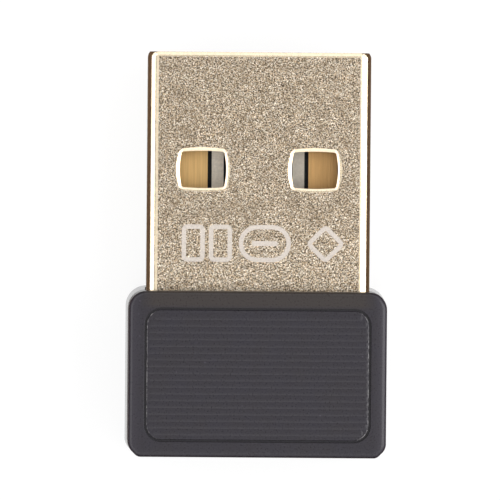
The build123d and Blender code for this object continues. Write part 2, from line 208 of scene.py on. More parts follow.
def edit(piece):
    """Edit mode on one object."""
    choose(piece)
    bpy.ops.object.mode_set(mode="EDIT")


def pick(piece, kind, test):
    """Selects the points, edges or faces of the piece in edit mode that pass the test."""
    bpy.ops.mesh.select_mode(type=kind)
    bpy.ops.mesh.select_all(action="DESELECT")
    shape = bmesh.from_edit_mesh(piece.data)
    if kind == "VERT":
        for point in shape.verts:
            point.select_set(test(point.co))
    elif kind == "EDGE":
        for line in shape.edges:
            line.select_set(test(*(point.co for point in line.verts)))
    else:
        for face in shape.faces:
            face.select_set(test(face.calc_center_median(), face.normal))
    bmesh.update_edit_mesh(piece.data)


def mm_box(node):
    """Lowest and highest corner of a CAD node, in millimetres."""
    low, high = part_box(node)
    return low / MM, high / MM


def along(axis):
    """Test for edges that run along one axis."""

    def test(a, b):
        return all(abs(a[i] - b[i]) < TINY for i in range(3) if i != axis)

    return test


def level_with(height):
    """Test for edges that lie at one height."""

    def test(a, b):
        return abs(a.z - height) < TINY and abs(b.z - height) < TINY

    return test


def add_block(low, high):
    """Box between two corners, its place in its mesh."""
    start()
    middle = [(a + b) / 2 for a, b in zip(low, high)]
    bpy.ops.mesh.primitive_cube_add(size=1, location=middle)
    block = bpy.context.object
    block.scale = [b - a for a, b in zip(low, high)]
    bpy.ops.object.transform_apply(location=True, rotation=False, scale=True)
    return block


def add_rounded_block(low, high, radius, axis=2, segments=8):
    """Box whose edges along one axis are rounded."""
    block = add_block(low, high)
    edit(block)
    pick(block, "EDGE", along(axis))
    bpy.ops.mesh.bevel(offset=radius, segments=segments)
    start()
    return block


def combine(piece, tool, operation="DIFFERENCE"):
    """Cuts the tool out of the piece, or joins it to the piece, and removes the tool."""
    choose(piece)
    change = piece.modifiers.new("Combine", "BOOLEAN")
    change.operation = operation
    change.solver = "EXACT"
    change.object = tool
    bpy.ops.object.modifier_apply(modifier=change.name)
    bpy.data.objects.remove(tool)


def join(piece, others):
    """Adds the other objects' meshes to the piece's."""
    choose(piece)
    for other in others:
        other.select_set(True)
    bpy.ops.object.join()


def rounded_distance(x, y, half_width, half_height, radius):
    """Distance of a point from a rounded rectangle round the origin, negative inside."""
    across = abs(x) - half_width + radius
    up = abs(y) - half_height + radius
    outside = math.hypot(max(across, 0), max(up, 0))
    return outside + min(max(across, up), 0) - radius


def finish_piece(piece, name, material, nodes):
    """Clean faces, smooth shading, metres, name, finish, and the CAD nodes that it stands for."""
    edit(piece)
    bpy.ops.mesh.select_all(action="SELECT")
    bpy.ops.mesh.dissolve_degenerate(threshold=TINY / 20)
    choose(piece)
    bpy.ops.object.shade_smooth_by_angle(angle=SMOOTH_ANGLE)
    weighted = piece.modifiers.new("Weighted", "WEIGHTED_NORMAL")
    weighted.keep_sharp = True
    bpy.ops.object.modifier_apply(modifier=weighted.name)
    piece.scale = (MM, MM, MM)
    bpy.ops.object.transform_apply(location=False, rotation=False, scale=True)
    piece.name = name
    piece.data.name = name
    piece.data.materials.clear()
    piece.data.materials.append(material)
    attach(piece, "root")
    if nodes:
        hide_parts(*nodes)


def add_node(tree, kind, inputs=None, **settings):
    """Shader node with its settings, and with values or links on its inputs."""
    made = tree.nodes.new("ShaderNode" + kind)
    for name, value in settings.items():
        setattr(made, name, value)
    for name, value in (inputs or {}).items():
        if isinstance(value, bpy.types.NodeSocket):
            tree.links.new(value, made.inputs[name])
        else:
            made.inputs[name].default_value = value
    return made


def new_material(name, **values):
    """Material with plain values on its shader; returns it with its tree and shader."""
    material = bpy.data.materials.new(name)
    material.use_nodes = True
    tree = material.node_tree
    shader = tree.nodes["Principled BSDF"]
    for socket, value in values.items():
        shader.inputs[socket.replace("_", " ")].default_value = value
    return material, tree, shader


def tone(base, factor=1.0):
    """Opaque colour, made darker or paler by a factor."""
    return (*(min(1, part * factor) for part in base), 1)


def blend(tree, share, first, second):
    """Colour mixed from two others."""
    return add_node(tree, "Mix", {0: share, 6: first, 7: second}, data_type="RGBA").outputs[2]


def tones(tree, share, base, darker, paler):
    """Mix of a darker and a paler tone of one colour."""
    return blend(tree, share, tone(base, darker), tone(base, paler))


def calculate(tree, operation, first, second=0.0, clamp=False):
    """Result of one operation on two numbers."""
    inputs = {0: first, 1: second}
    return add_node(tree, "Math", inputs, operation=operation, use_clamp=clamp).outputs["Value"]


def spread(tree, value, low, high, out_low=0.0, out_high=1.0):
    """Value mapped from one range to another and clamped."""
    ranges = {
        "Value": value,
        "From Min": low,
        "From Max": high,
        "To Min": out_low,
        "To Max": out_high,
    }
    return add_node(tree, "MapRange", ranges).outputs["Result"]


def position(tree):
    """Place on the object."""
    return add_node(tree, "TexCoord").outputs["Object"]


def separated(tree, value):
    """The three parts of a place or a colour, as X, Y and Z."""
    return add_node(tree, "SeparateXYZ", {"Vector": value}).outputs


def noise(tree, size, detail=2.0, stretch=None, distortion=0.0):
    """Noise with grains of about the given size in metres."""
    place = position(tree)
    if stretch:
        place = add_node(tree, "Mapping", {"Vector": place, "Scale": stretch}).outputs["Vector"]
    inputs = {
        "Vector": place,
        "Scale": 1 / size,
        "Detail": detail,
        "Roughness": 0.6,
        "Distortion": distortion,
    }
    return add_node(tree, "TexNoise", inputs).outputs["Fac"]


def bump(tree, height, distance):
    """Bump of real height in metres."""
    return add_node(tree, "Bump", {"Height": height, "Distance": distance}).outputs["Normal"]


def wire(tree, shader, face, roughness, normal=None):
    """Links a finish's colour, roughness and bump to its shader."""
    for name, result in (("Base Color", face), ("Roughness", roughness), ("Normal", normal)):
        if result is not None:
            tree.links.new(result, shader.inputs[name])


def blasted_metal(settings):
    """Champagne plating over a blasted face: painted shade in its pitting, worm-like painted glints
    and a fine bump.
    """
    material, tree, shader = new_material("Blasted plating", Metallic=1.0)
    # Painted light: a pale colour for the painted glints, and a dark one for painted shade in the
    # pitting.
    painted_glint = (1.0, 0.92, 0.78)
    painted_pit_shade = (0.06, 0.04, 0.025)
    grain = noise(tree, settings.grain, detail=1.0)
    contrast = spread(tree, grain, 0.36, 0.68)
    painted_glint_worms = spread(tree, noise(tree, 0.9 * settings.grain, detail=0.0, distortion=1.5), 0.56, 0.66)
    painted_pit_shade_share = spread(tree, noise(tree, 1.1 * settings.grain, detail=0.0), 0.43, 0.33)
    # A dull cloudy tone of random patches, which comes in between 1 and 4 mm from the housing;
    # keeping it off the shell nearest the housing is painted light, which lifts the shell where the
    # housing shades it.
    shoulder = mm_box("front_cover")[1].y
    along_plug = separated(tree, position(tree))["Y"]
    most = spread(tree, along_plug, (shoulder + 1) * MM, (shoulder + 4) * MM, 0, 0.35)
    clouds_and_painted_light = spread(tree, noise(tree, 0.7 * MM, detail=4.0), 0.35, 0.65, 0, most)
    face = tones(tree, contrast, settings.metal, 0.1, 1.95)
    # Painted highlights as pale worm-like streaks, then painted shade as dark specks.
    face = blend(tree, painted_glint_worms, face, tone(painted_glint))
    face = blend(tree, painted_pit_shade_share, face, tone(painted_pit_shade))
    face = blend(tree, clouds_and_painted_light, face, tone(settings.metal, 0.55))
    roughness = spread(tree, contrast, 0, 1, 0.34, 0.46)
    wire(tree, shader, face, roughness, bump(tree, grain, 0.010 * MM))
    return material


def polished_metal(settings):
    """Champagne plating where forming has smoothed it."""
    material, tree, shader = new_material("Polished plating", Metallic=1.0)
    wear = spread(tree, noise(tree, 0.2 * MM), 0.3, 0.7)
    face = tones(tree, wear, settings.polish, 0.93, 1.05)
    fine = noise(tree, settings.grain)
    wire(tree, shader, face, spread(tree, wear, 0, 1, 0.14, 0.2), bump(tree, fine, 0.0008 * MM))
    return material


def moulded_plastic(settings, name, rough, level):
    """Dark moulded plastic: a fine spark-eroded face, a few specks, a painted reflection of the
    plug beside it and a painted highlight on the outer border.
    """
    material, tree, shader = new_material(name, Specular_IOR_Level=level)
    plastic = settings.plastic
    red, green, blue = tone(plastic, 0.82)[:3]
    warm = (red * 1.08, green, blue * 0.96)
    cool = (red * 1.05, green * 1.04, blue * 1.2)
    cloud = spread(tree, noise(tree, 1.1 * MM, detail=3.0), 0.35, 0.65)
    fine = noise(tree, 0.1 * MM, detail=3.0)
    face = blend(tree, cloud, tone(warm), tone(cool))
    face = blend(tree, spread(tree, fine, 0.35, 0.7), face, tone(plastic, 1.4))
    place = position(tree)
    # Specks: the middles of cells, in the quarter of them whose chance is highest.
    cell_size = 0.7 * MM
    cells = add_node(tree, "TexVoronoi", {"Vector": place, "Scale": 1 / cell_size}).outputs
    speck = spread(tree, cells["Distance"], 0.075, 0.04)
    rare = spread(tree, separated(tree, cells["Color"])["X"], 0.72, 0.76)
    face = blend(tree, calculate(tree, "MULTIPLY", speck, rare), face, tone(plastic, 3.2))
    # A painted reflection of the plug on the strip of border behind it, and a painted highlight on
    # the outer border at the sides.
    high = mm_box("front_cover")[1]
    parts = separated(tree, place)
    aside = calculate(tree, "ABSOLUTE", parts["X"])
    near = spread(tree, parts["Y"], (high.y - 1.0) * MM, (high.y - 0.7) * MM)
    behind = spread(tree, aside, 6.4 * MM, 5.6 * MM)
    # Painted reflection: the plug's warm tone on the border strip behind it.
    warmed = tones(tree, fine, settings.beside_plug, 0.8, 1.2)
    face = blend(tree, calculate(tree, "MULTIPLY", near, behind), face, warmed)
    # Painted highlight: paler plastic on the top of the outer border at the sides.
    on_top = spread(tree, parts["Z"], (high.z - 0.3) * MM, (high.z - 0.15) * MM)
    outer = spread(tree, aside, 6.2 * MM, 6.8 * MM)
    painted_edge_highlight = calculate(tree, "MULTIPLY", on_top, outer)
    face = blend(tree, painted_edge_highlight, face, tone(plastic, 1.75))
    roughness = spread(tree, fine, 0.3, 0.7, 0.9 * rough, 1.1 * rough)
    wire(tree, shader, face, roughness, bump(tree, fine, 0.002 * MM * rough))
    return material


def painted_highlight_plastic(settings):
    """Paler plastic in a broken line: a painted highlight along an edge."""
    material, tree, shader = new_material("Painted highlight edge", Specular_IOR_Level=0.5)
    # Pale colour of the painted highlight.
    painted_highlight = (0.18, 0.17, 0.175)
    grain = spread(tree, noise(tree, 0.2 * MM), 0.42, 0.6)
    face = blend(tree, grain, tone(settings.plastic, 1.4), tone(painted_highlight))
    wire(tree, shader, face, spread(tree, grain, 0, 1, 0.35, 0.5))
    return material


def etched_line(settings):
    """Pale etched line, matt and a little broken."""
    material, tree, shader = new_material("Etched line", Metallic=0.3)
    patch = spread(tree, noise(tree, 0.07 * MM), 0.3, 0.65)
    face = tones(tree, patch, settings.etched, 0.8, 1.15)
    wire(tree, shader, face, spread(tree, patch, 0, 1, 0.5, 0.7))
    return material


def carrier_plastic():
    """Moulded tongue: satin grey on its upper face, darker towards +X by painted shade, and black
    painted shade in the channels.
    """
    material, tree, shader = new_material("Carrier plastic")
    grey, pale = (0.77, 0.71, 0.61), (0.95, 0.88, 0.76)
    painted_side_shade, painted_channel_shade = (0.30, 0.275, 0.235), (0.012, 0.014, 0.018)
    top = mm_box("vbus_contact")[1].z
    parts = separated(tree, position(tree))
    grain = spread(tree, noise(tree, 0.16 * MM), 0.3, 0.7)
    # Painted shade, darker towards +X.
    painted_side_shade_share = spread(tree, parts["X"], -1.0 * MM, 1.0 * MM, 0, 0.45)
    top_over_channel_shade = spread(tree, parts["Z"], (top - 0.03) * MM, (top - 0.01) * MM)
    face = blend(tree, painted_side_shade_share, blend(tree, grain, tone(grey), tone(pale)), tone(painted_side_shade))
    # Painted shade: black below the upper face, in the channels.
    face = blend(tree, top_over_channel_shade, tone(painted_channel_shade), face)
    tree.links.new(spread(tree, top_over_channel_shade, 0, 1, 0, 0.65), shader.inputs["Metallic"])
    wire(tree, shader, face, spread(tree, grain, 0, 1, 0.4, 0.55), bump(tree, grain, 0.003 * MM))
    return material


def speckled(name, base, size, metallic=0.0, roughness=(0.4, 0.6), depth=0.002, stretch=None):
    """Finish with a grain of colour, roughness and height, for the inner pieces."""
    material, tree, shader = new_material(name, Metallic=metallic)
    grain = spread(tree, noise(tree, size, stretch=stretch), 0.3, 0.7)
    face = tones(tree, grain, base, 0.86, 1.1)
    wire(tree, shader, face, spread(tree, grain, 0, 1, *roughness), bump(tree, grain, depth * MM))
    return material


def dress(names, material):
    """Gives CAD nodes a finish."""
    for name in names:
        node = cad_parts[name]
        node.data.materials.clear()
        node.data.materials.append(material)


def rolled_drop(settings, place, width):
    """How far a rolled edge has dropped, at a place across its width, as its slope grows."""
    first = settings.roll_start
    turn = settings.roll_end - first
    slope = first + turn * place / width
    return width / turn * math.log(math.cos(first) / math.cos(slope))


class ADAPTER_OT_plug_shell(bpy.types.Operator):
    """Model the folded plug shell with its windows, seam and solder tabs"""

    bl_idname = "adapter.plug_shell"
    bl_label = "Plug Shell"

    def execute(self, context):
        settings = context.scene.adapter_shell
        low, high = mm_box("plug_shell")
        sheet = settings.sheet / MM
        back = low.y + settings.tab_length / MM
        shell = add_rounded_block(low, high, settings.bend / MM, axis=1, segments=12)
        hollow = add_rounded_block(
            (low.x + sheet, low.y - FAR, low.z + sheet),
            (high.x - sheet, high.y + FAR, high.z - sheet),
            (settings.bend - settings.sheet) / MM,
            axis=1,
        )
        combine(shell, hollow)
        self.cut_tabs(shell, settings, low, high, back)
        windows = self.cut_windows(shell, settings, low, high)
        self.cut_seam(shell, settings, low, high, back)
        self.roll_rims(shell, settings, windows, low, high)
        material = blasted_metal(settings)
        finish_piece(shell, "plug_shell_folded", material, ["plug_shell"])
        self.polish_folds(shell, settings)
        return {"FINISHED"}

    def cut_tabs(self, shell, settings, low, high, back):
        """Leaves only the two tabs behind the back edge of the tube."""
        sheet = settings.sheet / MM
        cuts = (  # lowest and highest x, lowest and highest z: between the tabs, under and over
            (low.x + sheet, high.x - sheet, low.z - FAR, high.z + FAR),
            (low.x - FAR, high.x + FAR, low.z - FAR, settings.tab_low / MM),
            (low.x - FAR, high.x + FAR, settings.tab_high / MM, high.z + FAR),
        )
        for left, right, under, over in cuts:
            combine(shell, add_block((left, low.y - FAR, under), (right, back, over)))

    def cut_windows(self, shell, settings, low, high):
        """Cuts the windows through both broad faces, and returns their middles."""
        half_width = settings.window_width / MM / 2
        half_length = settings.window_length / MM / 2
        place_y = high.y - settings.window_from_tip / MM

        def long_side(a, b):
            return abs(a.z - b.z) < TINY and (a - b).length > half_length

        middles = []
        for side in (-1, 1):
            place_x = side * settings.window_spacing / MM / 2
            cutter = add_rounded_block(
                (place_x - half_width, place_y - half_length, low.z - FAR),
                (place_x + half_width, place_y + half_length, high.z + FAR),
                settings.window_corner / MM,
                segments=6,
            )
            edit(cutter)
            # The long straight sides are divided, so that they can bow out later.
            pick(cutter, "EDGE", long_side)
            bpy.ops.mesh.subdivide(number_cuts=11)
            combine(shell, cutter)
            middles.append((place_x, place_y))
        return middles

    def cut_seam(self, shell, settings, low, high, back):
        """Cuts the seam on the underside, straight but for one dovetail clinch."""
        gap = settings.seam / MM
        middle_z = (low.z + high.z) / 2
        place = high.y - settings.clinch_from_tip / MM
        neck = settings.clinch_neck / MM / 2
        head = settings.clinch_head / MM / 2
        reach = settings.clinch_reach / MM
        path = (
            (0, high.y + gap),
            (0, place + neck),
            (reach, place + head),
            (reach, place - head),
            (0, place - neck),
            (0, back - gap),
        )
        for first, last in zip(path, path[1:]):
            run = Vector(last) - Vector(first)
            middle = (Vector(first) + Vector(last)) / 2
            start()
            bpy.ops.mesh.primitive_cube_add(
                size=1,
                location=(middle.x, middle.y, (low.z - gap + middle_z - gap) / 2),
                rotation=(0, 0, math.atan2(run.y, run.x)),
            )
            cutter = bpy.context.object
            cutter.scale = (run.length + gap, gap, middle_z - low.z)
            bpy.ops.object.transform_apply(location=True, rotation=True, scale=True)
            combine(shell, cutter)

    def roll_rims(self, shell, settings, windows, low, high):
        """Rounds the tip and rolls the window rims in, widest at the middle of each side."""
        half_width = settings.window_width / MM / 2
        half_length = settings.window_length / MM / 2
        corner = settings.window_corner / MM
        half_x = (high.x - low.x) / 2
        half_z = (high.z - low.z) / 2
        middle_z = (low.z + high.z) / 2
        bend = settings.bend / MM
        tip = settings.tip / MM
        rim = settings.rim / MM
        swell = settings.rim_swell / MM
        bow = settings.window_bow / MM
        end_share = 0.5  # how much of that bow the sides across the plug have
        off_arc = 5 * TINY  # how far the folds' flat steps may leave their true arc
        core = Vector((half_x - bend, 0, half_z - bend))

        def window_distance(point):
            return min(
                rounded_distance(point.x - x, point.y - y, half_width, half_length, corner)
                for x, y in windows
            )

        def on_broad_face(point):
            return abs(abs(point.z - middle_z) - half_z) < TINY

        def on_rim(a, b):
            return all(on_broad_face(p) and abs(window_distance(p)) < TINY for p in (a, b))

        def on_tip(a, b):
            return all(
                abs(p.y - high.y) < TINY
                and abs(rounded_distance(p.x, p.z - middle_z, half_x, half_z, bend)) < off_arc
                for p in (a, b)
            )

        edit(shell)
        pick(shell, "EDGE", on_rim)
        bpy.ops.mesh.bevel(offset=rim, segments=9)
        pick(shell, "EDGE", on_tip)
        bpy.ops.mesh.bevel(offset=tip, segments=8)
        shape = bmesh.from_edit_mesh(shell.data)
        for point in shape.verts:
            # The drawn-in tip: each point slides along the way out of the folds' core.
            past = point.co.y - high.y + tip
            across = (point.co.x, 0, point.co.z - middle_z)
            seat = Vector([max(-most, min(most, part)) for most, part in zip(core, across)])
            out = point.co - seat - Vector((0, point.co.y, middle_z))
            if past > TINY and out.length > bend - tip - TINY:
                drop = rolled_drop(settings, past, tip)
                point.co += out.normalized() * (bend - drop - out.length)
                continue
            # The windows' rims: each point drops along the roll, then moves out with the bow.
            distance = window_distance(point.co)
            depth = half_z - abs(point.co.z - middle_z)
            if not -TINY < distance < rim + TINY:
                continue
            if depth < rim + TINY:
                drop = rolled_drop(settings, rim - max(distance, 0), rim)
                point.co.z = middle_z + math.copysign(half_z - drop, point.co.z - middle_z)
            share = bow + (swell - bow) * distance / rim
            x, y = min(windows, key=lambda middle: abs(point.co.x - middle[0]))
            from_x = (point.co.x - x) / half_width
            from_y = (point.co.y - y) / half_length
            along_x = min(1, abs(point.co.x - x) / (half_width - corner))
            along_y = min(1, abs(point.co.y - y) / (half_length - corner))
            if abs(from_y) < 1 and abs(from_x) > FLAT:
                point.co.x += math.copysign(share * (1 - along_y**2), from_x)
            elif abs(from_x) < 1 and abs(from_y) > FLAT:
                point.co.y += math.copysign(end_share * share * (1 - along_x**2), from_y)
        bmesh.update_edit_mesh(shell.data)
        start()

    def polish_folds(self, shell, settings):
        """Gives everything but the four flat outer faces the polished finish."""
        shell.data.materials.append(polished_metal(settings))
        low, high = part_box("plug_shell")

        def on_outer_face(face, axis):
            place = face.center[axis]
            depth = min(place - low[axis], high[axis] - place)
            return abs(face.normal[axis]) > FLAT and depth < TINY * MM

        for face in shell.data.polygons:
            blasted = on_outer_face(face, 0) or on_outer_face(face, 2)
            face.material_index = 0 if blasted else 1


def cover_body(settings, low, high, seam_z, grow, floor_z, narrow_z, draft):
    """Solid cover between the seam and its outer face, with its corners, draft and edges."""
    body = add_block(low, high)
    # An outline grown by some millimetres has corner cuts longer by this share of them.
    cut = settings.tail_cut / MM + (2 - math.sqrt(2)) * grow
    # A radius where two sides meet at that angle takes up this share of itself on each.
    quarter = math.tan(math.pi / 8)
    edit(body)

    def upright_at(x, y):
        return lambda a, b: along(2)(a, b) and abs(abs(a.x) - x) < TINY and abs(a.y - y) < TINY

    pick(body, "EDGE", upright_at(high.x, high.y))
    bpy.ops.mesh.bevel(offset=settings.plug_corner / MM + grow, segments=12)
    pick(body, "EDGE", upright_at(high.x, low.y))
    bpy.ops.mesh.bevel(offset=cut, segments=1)
    pick(body, "EDGE", upright_at(high.x, low.y + cut))
    bpy.ops.mesh.bevel(offset=(settings.tail_side / MM + grow) * quarter, segments=7)
    pick(body, "EDGE", upright_at(high.x - cut, low.y))
    bpy.ops.mesh.bevel(offset=(settings.tail_end / MM + grow) * quarter, segments=7)
    pick(body, "FACE", lambda at, normal: abs(at.z - narrow_z) < TINY and abs(normal.z) > FLAT)
    front = floor_z > seam_z
    # The front cover leans in at its tail, the rear one out at both ends.
    tail_alone, both_ends = 1.2, 2
    lean = (tail_alone if front else both_ends) * draft
    bpy.ops.transform.resize(
        value=(1 - 2 * draft / (high.x - low.x), 1 - lean / (high.y - low.y), 1),
        center_override=(0, high.y if front else (low.y + high.y) / 2, narrow_z),
    )
    edge = settings.edge if front else settings.foot_edge
    pick(body, "EDGE", level_with(floor_z))
    bpy.ops.mesh.bevel(offset=edge / MM, segments=8)
    pick(body, "EDGE", level_with(seam_z))
    bpy.ops.mesh.bevel(offset=settings.seam_edge / MM, segments=3)
    start()
    return body


def cavity_block(settings, grow, low_z, high_z):
    """Block as large as the hollow of the covers, grown by some millimetres all round."""
    low, high = mm_box("front_cover")
    inset = settings.wall / MM - grow
    return add_rounded_block(
        (low.x + inset, low.y + inset, low_z),
        (high.x - inset, high.y - inset, high_z),
        settings.cavity_corner / MM + grow,
    )


def plug_opening(settings):
    """Block that cuts the opening for the plug shell."""
    low, high = mm_box("plug_shell")
    shoulder = mm_box("front_cover")[1].y
    gap = settings.clearance / MM
    return add_rounded_block(
        (low.x - gap, shoulder - settings.wall / MM - settings.cavity_corner / MM, low.z - gap),
        (high.x + gap, shoulder + FAR, high.z + gap),
        bpy.context.scene.adapter_shell.bend / MM + gap,
        axis=1,
        segments=12,
    )


def add_posts(cover, settings, low_z, high_z):
    """Joins to a cover the two posts that hold the back corners of the board."""
    low, high = mm_box("circuit_board")
    for side in (-1, 1):
        outer = side * high.x
        inner = side * (high.x - settings.post_width / MM)
        post = add_block(
            (min(outer, inner), low.y, low_z),
            (max(outer, inner), low.y + settings.post_length / MM, high_z),
        )
        combine(cover, post, "UNION")


class ADAPTER_OT_front_cover(bpy.types.Operator):
    """Model the front cover with its groove and ridged panel"""

    bl_idname = "adapter.front_cover"
    bl_label = "Front Cover"

    def execute(self, context):
        settings = context.scene.adapter_cover
        box_low, high = mm_box("front_cover")
        seam_z = high.z / 2
        low = Vector((box_low.x, box_low.y, seam_z))
        ceiling = high.z - settings.wall / MM
        lip_gap = (settings.lip + settings.clearance) / MM
        draft = settings.draft / MM
        cover = cover_body(
            settings, low, high, seam_z, grow=0, floor_z=high.z, narrow_z=high.z, draft=draft
        )
        self.crown_border(cover, settings, low, high)
        combine(cover, cavity_block(settings, 0, seam_z - FAR, ceiling))
        lip_top = seam_z + (settings.lip_height + settings.clearance) / MM
        combine(cover, cavity_block(settings, lip_gap, seam_z - FAR, lip_top))
        combine(cover, plug_opening(settings))
        add_posts(cover, settings, mm_box("circuit_board")[1].z, ceiling + TINY)
        self.add_panel(cover, settings, low, high)
        material = moulded_plastic(settings, "Satin plastic", rough=0.29, level=0.37)
        finish_piece(cover, "front_cover_moulded", material, ["front_cover"])
        self.paint_panel_edge_highlight(cover, settings, low, high)
        return {"FINISHED"}

    def crown_border(self, cover, settings, low, high):
        """Lets the border fall a little towards its outer edge."""
        reach = (settings.border - settings.groove) / MM
        corner = settings.plug_corner / MM
        middle_y = (low.y + high.y) / 2
        half_y = (high.y - low.y) / 2
        rings = 4
        step = (reach - settings.edge / MM) / rings
        edit(cover)
        pick(cover, "FACE", lambda place, normal: abs(place.z - high.z) < TINY)
        for _ in range(rings):
            bpy.ops.mesh.extrude_region_move(TRANSFORM_OT_translate={"value": (0, 0, 0)})
            bpy.ops.transform.resize(
                value=(1 - step / high.x, 1 - 2 * step / (high.y - low.y), 1),
                center_override=(0, middle_y, high.z),
            )
        shape = bmesh.from_edit_mesh(cover.data)
        for point in shape.verts:
            x, y, z = point.co
            inside = -rounded_distance(x, y - middle_y, high.x, half_y, corner)
            if z > (low.z + high.z) / 2 and inside < reach:
                point.co.z -= settings.crown / MM * (1 - max(inside, 0) / reach) ** 2
        bmesh.update_edit_mesh(cover.data)
        start()

    def add_panel(self, cover, settings, low, high):
        """Cuts the groove, then lays the ridges on the panel inside it."""
        groove = settings.groove / MM
        inset = settings.border / MM
        corner = (settings.groove_corner + settings.groove / 2) / MM
        floor_z = high.z - settings.groove_depth / MM
        valley_z = high.z - settings.ridge_height / MM
        outer_low = (low.x + inset - groove / 2, low.y + inset - groove / 2, floor_z)
        outer_high = (high.x - inset + groove / 2, high.y - inset + groove / 2, high.z + FAR)
        middle_y = (low.y + high.y) / 2
        half_x = outer_high[0]
        half_y = (outer_high[1] - outer_low[1]) / 2

        def on_rim(a, b):
            return level_with(high.z)(a, b) and all(
                abs(rounded_distance(p.x, p.y - middle_y, half_x, half_y, corner)) < TINY
                for p in (a, b)
            )

        combine(cover, add_rounded_block(outer_low, outer_high, corner, segments=12))
        edit(cover)
        pick(cover, "EDGE", on_rim)
        bpy.ops.mesh.bevel(offset=settings.groove_edge / MM, segments=3)
        panel = add_rounded_block(
            (outer_low[0] + groove, outer_low[1] + groove, floor_z - groove),
            (outer_high[0] - groove, outer_high[1] - groove, valley_z),
            corner - groove,
            segments=12,
        )
        edit(panel)
        pick(panel, "EDGE", level_with(valley_z))
        bpy.ops.mesh.bevel(offset=settings.panel_edge / MM, segments=4)
        combine(cover, panel, "UNION")
        inner = [size - groove for size in (half_x, half_y, corner)]
        self.lay_ridges(cover, settings, valley_z, middle_y, *inner)

    def lay_ridges(self, cover, settings, valley_z, middle_y, half_x, half_y, corner):
        """Ridges with rounded ends: one cap of a ball, drawn out to each ridge's length."""
        pitch = settings.ridge_pitch / MM
        height = settings.ridge_height / MM
        radius = (pitch * pitch / 4 + height * height) / (2 * height)
        field_y = middle_y - settings.ridge_drop / MM
        start()
        bpy.ops.mesh.primitive_uv_sphere_add(
            segments=96, ring_count=60, radius=radius, rotation=(0, math.pi / 2, 0)
        )
        cap = bpy.context.object
        bpy.ops.object.transform_apply(location=False, rotation=True, scale=False)
        edit(cap)
        bpy.ops.mesh.select_all(action="SELECT")
        bpy.ops.mesh.bisect(
            plane_co=(0, 0, radius - height - TINY),
            plane_no=(0, 0, 1),
            use_fill=True,
            clear_inner=True,
            threshold=1e-6,
        )
        start()
        ridges = []
        for index in range(settings.ridge_count):
            place_y = field_y + (index - (settings.ridge_count - 1) / 2) * pitch
            outer_y = abs(place_y - middle_y) + pitch / 2
            into_corner = max(0, outer_y - half_y + corner)
            lost = corner - math.sqrt(max(0, corner * corner - into_corner * into_corner))
            reach = half_x - lost - settings.ridge_margin / MM - pitch / 2
            ridge = cap.copy()
            ridge.data = cap.data.copy()
            bpy.context.scene.collection.objects.link(ridge)
            edit(ridge)
            pick(ridge, "VERT", lambda point: point.x > TINY / 10)
            bpy.ops.transform.translate(value=(reach, 0, 0))
            pick(ridge, "VERT", lambda point: point.x < -TINY / 10)
            bpy.ops.transform.translate(value=(-reach, 0, 0))
            bpy.ops.mesh.select_all(action="SELECT")
            bpy.ops.transform.translate(value=(0, place_y, valley_z - radius + height))
            start()
            ridges.append(ridge)
        bpy.data.objects.remove(cap)
        join(cover, ridges)

    def paint_panel_edge_highlight(self, cover, settings, low, high):
        """Gives the panel's rounded edge its paler finish, a painted highlight, but for its ends
        across.
        """
        cover.data.materials.append(painted_highlight_plastic(settings))
        edge = settings.panel_edge / MM
        inset = (settings.border + settings.groove / 2) / MM
        corner = (settings.groove_corner - settings.groove / 2) / MM
        half_y = (high.y - low.y) / 2 - inset
        middle_y = (low.y + high.y) / 2
        bottom_z = high.z - settings.ridge_height / MM - edge
        sideways = 0.25  # part of a normal past which a face looks to the left or the right
        for face in cover.data.polygons:
            place = face.center / MM
            inside = -rounded_distance(place.x, place.y - middle_y, high.x - inset, half_y, corner)
            if abs(face.normal.x) > sideways and -TINY < inside < edge and place.z > bottom_z:
                face.material_index = 1


class ADAPTER_OT_rear_cover(bpy.types.Operator):
    """Model the plain rear cover with its lip and posts"""

    bl_idname = "adapter.rear_cover"
    bl_label = "Rear Cover"

    def execute(self, context):
        settings = context.scene.adapter_cover
        low, box_high = mm_box("rear_cover")
        seam_z = mm_box("front_cover")[1].z / 2
        high = Vector((box_high.x, box_high.y, seam_z))
        floor = settings.wall / MM
        step = (settings.rim_step - settings.seam_step) / MM
        grow = settings.rim_step / MM
        cover = cover_body(
            settings, low, high, seam_z, grow=grow, floor_z=low.z, narrow_z=seam_z, draft=step
        )
        combine(cover, cavity_block(settings, 0, floor, seam_z + FAR))
        lip_top = seam_z + settings.lip_height / MM
        lip = cavity_block(settings, settings.lip / MM, seam_z - TINY, lip_top)
        combine(lip, cavity_block(settings, 0, floor, seam_z + FAR))
        combine(cover, lip, "UNION")
        combine(cover, plug_opening(settings))
        add_posts(cover, settings, floor - TINY, mm_box("circuit_board")[0].z)
        material = moulded_plastic(settings, "Polished plastic", rough=0.14, level=0.5)
        finish_piece(cover, "rear_cover_moulded", material, ["rear_cover"])
        return {"FINISHED"}


